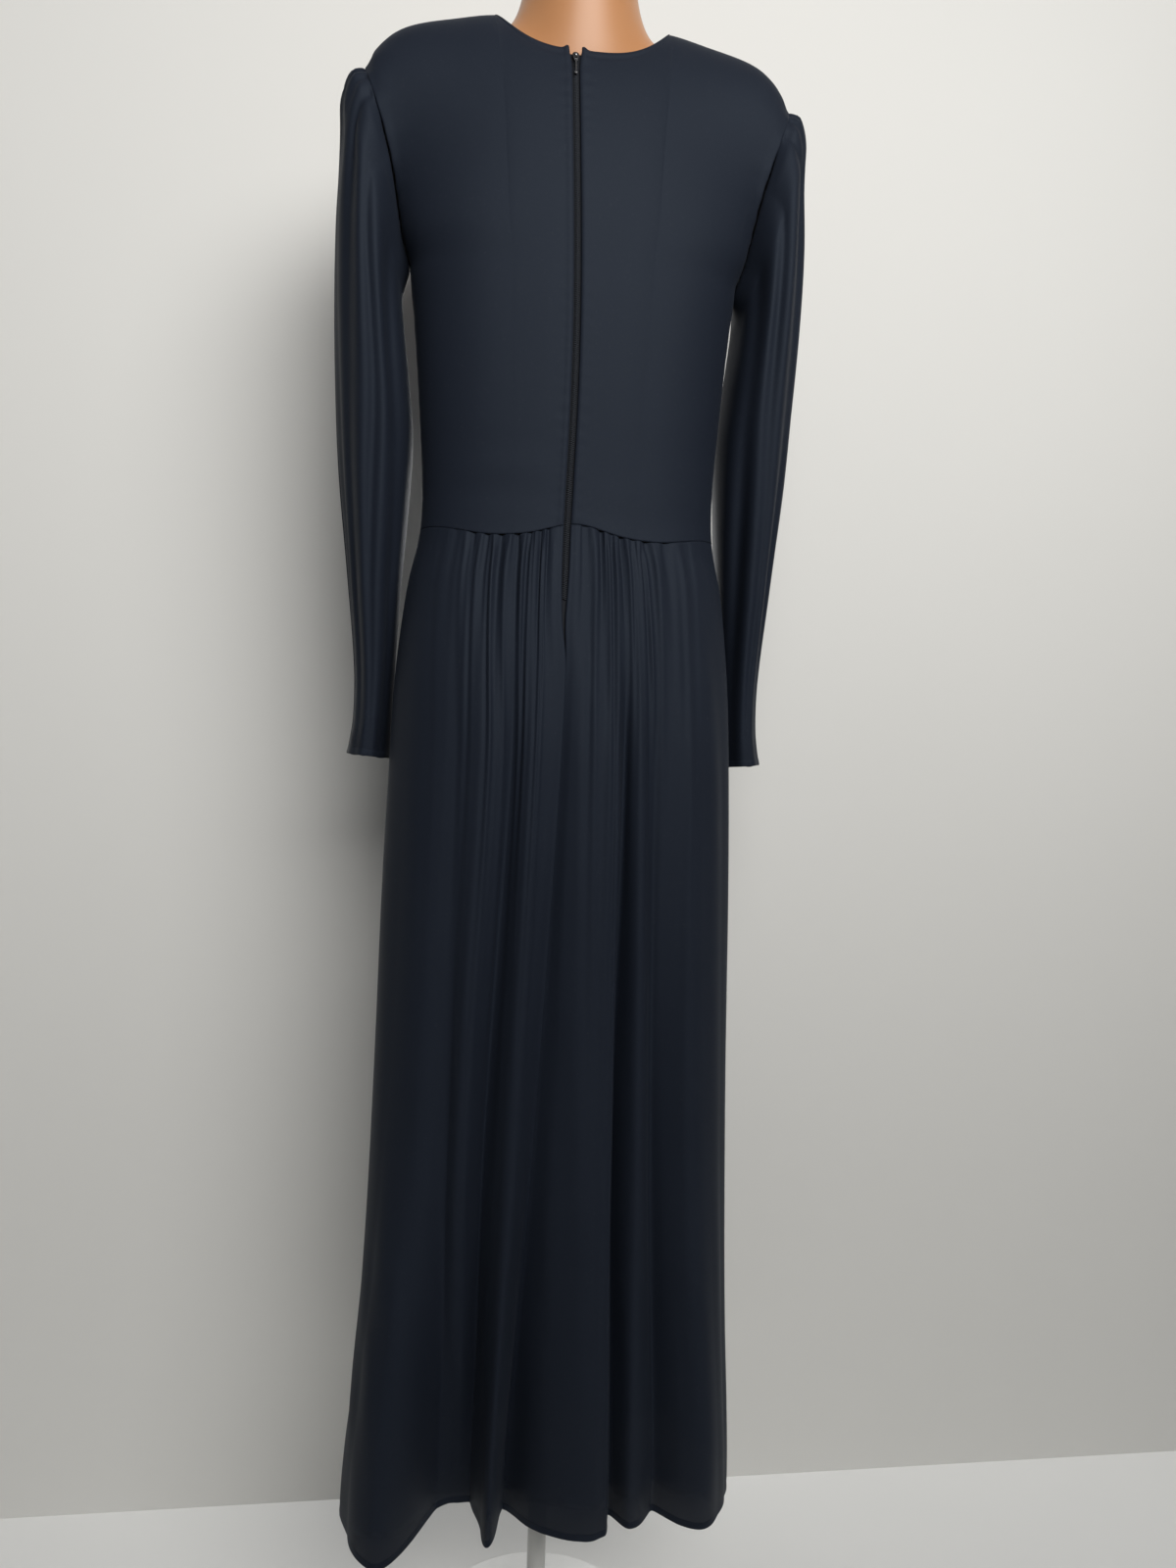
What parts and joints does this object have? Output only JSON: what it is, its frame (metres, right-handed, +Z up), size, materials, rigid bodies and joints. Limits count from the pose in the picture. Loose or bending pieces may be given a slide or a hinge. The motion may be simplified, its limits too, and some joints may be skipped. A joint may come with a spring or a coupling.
{
  "type": "maxi dress on dress form",
  "caption": "Long-sleeved black jersey maxi dress with a gathered skirt and an open-seamed back zip, on a limbless dress form with a pole stand.",
  "frame": {"origin": "middle of the underside of the stand's round base, on the floor", "axes": "+Z up, -Y towards the wearer's front, +X towards the wearer's left; the zip is on the +Y side"},
  "size_m": [0.4478, 0.2408, 1.625],
  "materials": {
    "jersey": "soft black jersey",
    "zip_tape": "woven black tape",
    "zip_coil": "black nylon coil",
    "zip_metal": "dark plated metal",
    "form_plastic": "smooth skin-coloured plastic",
    "stand": "pale grey paint"
  },
  "bodies": {
    "dress": {"bodice_back_left": "jersey", "bodice_back_right": "jersey", "bodice_front": "jersey", "skirt_back_left": "jersey", "skirt_back_right": "jersey", "skirt_front": "jersey", "sleeve_left": "jersey", "sleeve_right": "jersey", "zip_tape": "zip_tape", "zip_chain": "zip_coil", "zip_slider": "zip_metal", "form_torso": "form_plastic", "stand_pole": "stand", "stand_base": "stand"},
    "pull_tab": {"zip_pull": "zip_metal"}
  },
  "joints": [
    {"name": "zip_pull_hinge", "type": "hinge", "parent": "dress", "child": "pull_tab", "pos_m": [0.01028, 0.06938, 1.50262], "axis": [1, 0, 0], "range_deg": [0, 150]}
  ]
}
